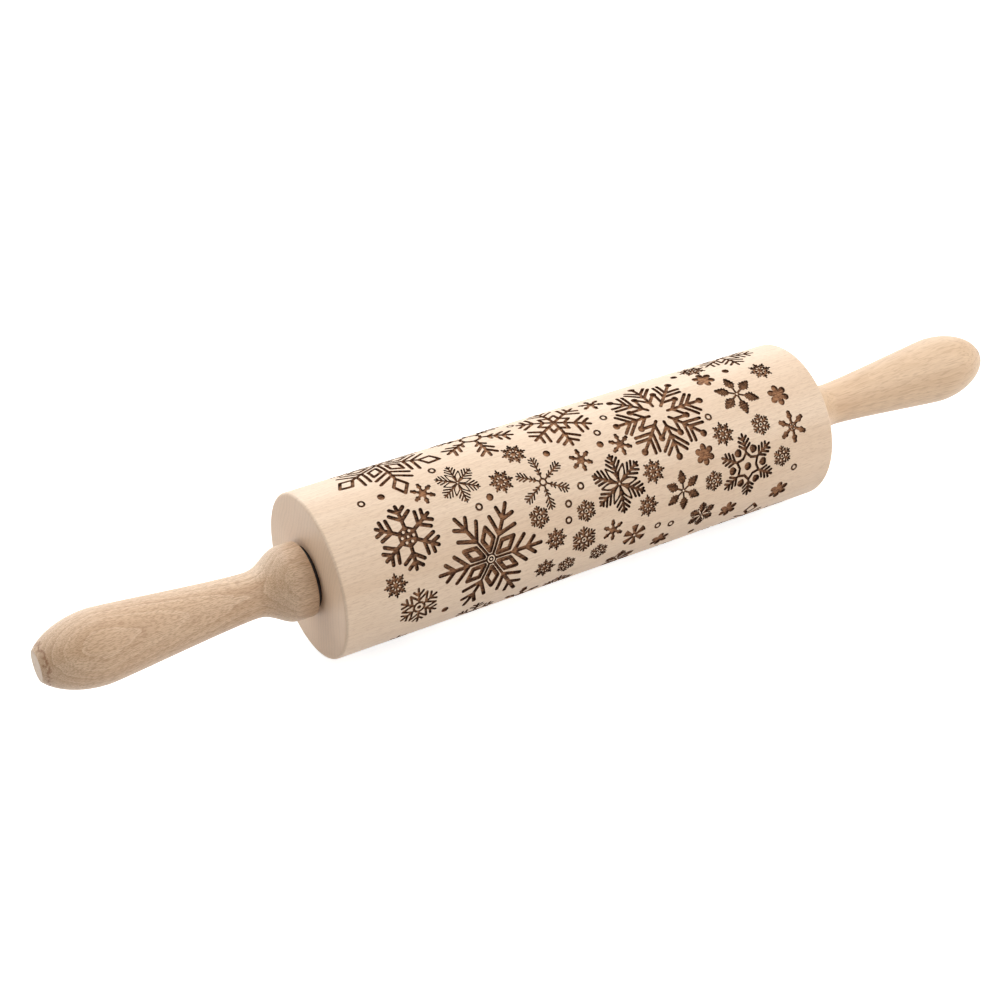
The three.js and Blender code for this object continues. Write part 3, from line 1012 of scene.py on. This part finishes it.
# The woods. Tones are the pale and the deep wood, end grain, growth rings and flecks. The tree's
# middle is (across, up) in millimetres, its rings are counted per millimetre and waver by so many
# millimetres, and a fleck is (length, width) in millimetres. The barrel has no torn grain.
BARREL_WOOD = {
    "tones": ((242, 217, 192), (233, 205, 178), (234, 202, 172), (208, 178, 150), (184, 146, 116)),
    "ring_centre": (-160, 10),
    "ring_scale": 0.5,
    "waver": 12,
    "ring_strength": 0.22,
    "line_strength": 0.15,
    "end_strength": 0.35,
    "fleck": (2.4, 0.34),
    "fleck_range": (0.52, 0.66),
    "fleck_strength": 0.25,
    "roughness": 0.48,
}
HANDLE_WOOD = {
    "tones": ((231, 203, 173), (214, 181, 148), (206, 178, 150), (180, 142, 109), (150, 104, 72)),
    "ring_centre": (60.5, -15.2),
    "ring_scale": 0.5,
    "waver": 2,
    "ring_strength": 0.4,
    "line_strength": 0.5,
    "end_strength": 0.4,
    "torn_strength": 0.25,
    "torn_line_strength": 0.9,
    "fleck": (2.3, 0.28),
    "fleck_range": (0.46, 0.6),
    "fleck_strength": 0.42,
    "roughness": 0.45,
}
FAR_HANDLE_CHANGES = {
    "tones": ((230, 200, 168), (214, 181, 148), (218, 190, 160), (187, 150, 115), (154, 111, 80)),
    "ring_centre": (25, -50),
    "ring_strength": 0.2,
    "line_strength": 0.15,
    "fleck": (9, 0.55),
    "fleck_range": (0.5, 0.68),
    "fleck_strength": 0.25,
}


def dress_nodes():
    """Materials for the CAD nodes that stay."""
    steel, plastic = steel_material(), plastic_material()
    for node, material in (
        ("axle_rod", steel),
        ("left_bush", plastic),
        ("right_bush", plastic),
        ("left_washer", plastic),
        ("right_washer", plastic),
    ):
        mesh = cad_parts[node].data
        mesh.materials.clear()
        mesh.materials.append(material)


def build_pieces():
    """The barrel and the two handles."""
    wood = wood_material("barrel_beech", BARREL_WOOD)
    barrel = barrel_shell().mesh_object("engraved_barrel", [wood, burnt_and_shaded_material()])
    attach(barrel, "barrel")
    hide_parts("barrel")
    for side, name, changes in ((-1, "left", {}), (1, "right", FAR_HANDLE_CHANGES)):
        handle_wood = wood_material(f"{name}_handle_beech", HANDLE_WOOD | changes)
        handle = turned_piece(f"turned_{name}_handle", handle_profile(), side, handle_wood)
        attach(handle, "handles")
        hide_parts(f"{name}_handle")


# The stage, in metres and watts
LAMP_SIZE = 1.8
COOL_WHITE = (0.95, 0.985, 1.0)
WARM_WHITE = (1.0, 0.97, 0.925)
LAMPS = (
    ("front_lamp", (0.7, -0.9, 1.0), 21.3, WARM_WHITE),
    ("back_left_lamp", (-0.6, 0.8, 0.9), 14.8, COOL_WHITE),
    ("back_right_lamp", (0.4, 0.8, 0.9), 14.8, COOL_WHITE),
    ("left_lamp", (-1.1, 0.0, 0.7), 0.5, WARM_WHITE),
)
WHITE = (1, 1, 1, 1)
SURROUND_LIGHT = 0.03
FLOOR_SIZE = 6
FLOOR_TONE = (218, 218, 218)
# How much the floor glows near the pin, and from where to where it rises to full white
FLOOR_GLOW = 0.79
FLOOR_FADE = (0.4, 1.4)


def seen_share(tree):
    """1 for what the camera sees, also through glass or in a reflection, and 0 for light on the pin."""
    rays = tree.nodes.new("ShaderNodeLightPath").outputs
    seen = rays["Is Camera Ray"]
    for kind in ("Is Transmission Ray", "Is Glossy Ray"):
        either = tree.nodes.new("ShaderNodeMath")
        either.operation = "MAXIMUM"
        tree.links.new(seen, either.inputs[0])
        tree.links.new(rays[kind], either.inputs[1])
        seen = either.outputs[0]
    return seen


def build_floor():
    """A white floor that keeps the pin's shadow."""
    surface = Surface("studio_floor", Roughness=0.9, Specular_IOR_Level=0.0, Emission_Color=WHITE)
    surface.feed(surface.shader.inputs["Base Color"], srgb(*FLOOR_TONE))
    away = surface.node("VectorMath", {0: surface.place()}, operation="LENGTH").outputs["Value"]
    near, far = (distance / MM for distance in FLOOR_FADE)
    glow = surface.math("MULTIPLY", seen_share(surface.tree), surface.ramp(away, near, far, FLOOR_GLOW, 1))
    surface.feed(surface.shader.inputs["Emission Strength"], glow)
    mesh = bpy.data.meshes.new("floor")
    half = FLOOR_SIZE / 2
    corners = [(-half, -half, 0), (half, -half, 0), (half, half, 0), (-half, half, 0)]
    mesh.from_pydata(corners, [], [(0, 1, 2, 3)])
    mesh.materials.append(surface.material)
    floor = bpy.data.objects.new("floor", mesh)
    bpy.context.scene.collection.objects.link(floor)


def build_surround():
    """A surround that is seen as white and lights the pin a little."""
    world = bpy.data.worlds.new("studio")
    world.use_nodes = True
    tree = world.node_tree
    background = tree.nodes["Background"]
    background.inputs["Color"].default_value = WHITE
    strength = tree.nodes.new("ShaderNodeMapRange")
    strength.inputs["To Min"].default_value = SURROUND_LIGHT
    strength.inputs["To Max"].default_value = 1.0
    tree.links.new(seen_share(tree), strength.inputs["Value"])
    tree.links.new(strength.outputs[0], background.inputs["Strength"])
    bpy.context.scene.world = world


def build_lamps():
    """Large soft lamps that face the pin's middle."""
    for name, place, power, colour in LAMPS:
        lamp = bpy.data.lights.new(name, "AREA")
        lamp.energy = power
        lamp.color = colour
        lamp.size = LAMP_SIZE
        lamp_object = bpy.data.objects.new(name, lamp)
        lamp_object.location = place
        direction = Vector((0, 0, AXIS_HEIGHT)) - Vector(place)
        lamp_object.rotation_euler = direction.to_track_quat("-Z", "Y").to_euler()
        bpy.context.scene.collection.objects.link(lamp_object)


def build_camera():
    """The camera of the photograph."""
    lens = bpy.data.cameras.new("camera")
    lens.lens = CAMERA_LENS
    lens.sensor_width = CAMERA_SENSOR
    lens.clip_start = CLIP_START
    camera = bpy.data.objects.new("camera", lens)
    camera.location = CAMERA_PLACE
    camera.rotation_euler = (CAMERA_TARGET - CAMERA_PLACE).to_track_quat("-Z", "Y").to_euler()
    bpy.context.scene.collection.objects.link(camera)
    bpy.context.scene.camera = camera


build_camera()
build_pieces()
dress_nodes()
build_floor()
build_surround()
build_lamps()
bpy.context.scene.view_settings.view_transform = "Standard"

bpy.context.view_layer.update()
